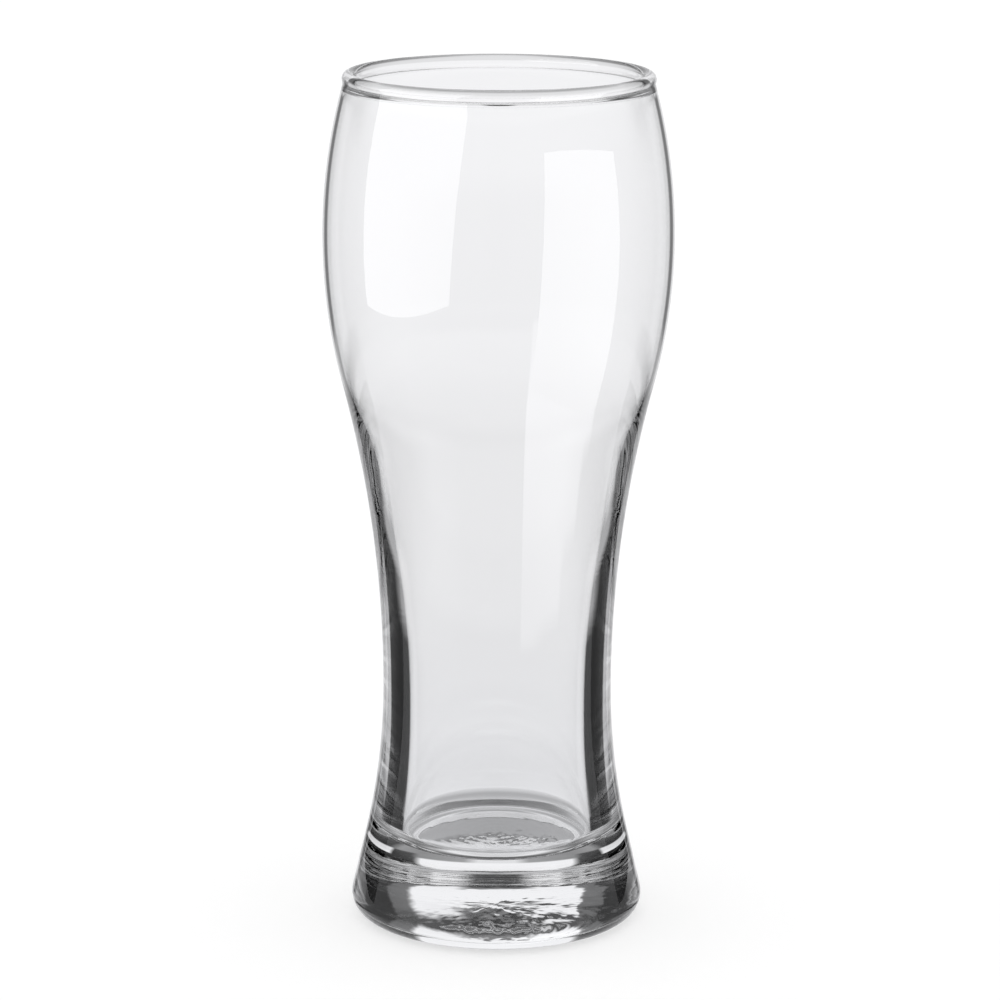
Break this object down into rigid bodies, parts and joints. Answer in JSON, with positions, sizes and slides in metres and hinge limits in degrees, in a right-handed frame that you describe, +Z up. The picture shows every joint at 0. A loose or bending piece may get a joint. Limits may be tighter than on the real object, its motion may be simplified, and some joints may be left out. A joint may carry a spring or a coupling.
{
  "type": "pilsner glass",
  "caption": "Tall clear beer glass with a wide bowl that narrows to a waist and flares into a thick heavy round foot, standing upright to hold a drink.",
  "frame": {"origin": "on the glass's axis, in the plane of the ring that it stands on", "axes": "+Z up along the axis from the foot to the lip; X and Y are alike, because the glass is round"},
  "size_m": [0.0794, 0.0794, 0.196],
  "materials": {
    "clear_glass": "gloss"
  },
  "bodies": {
    "root": {"glass": "clear_glass"}
  },
  "joints": []
}
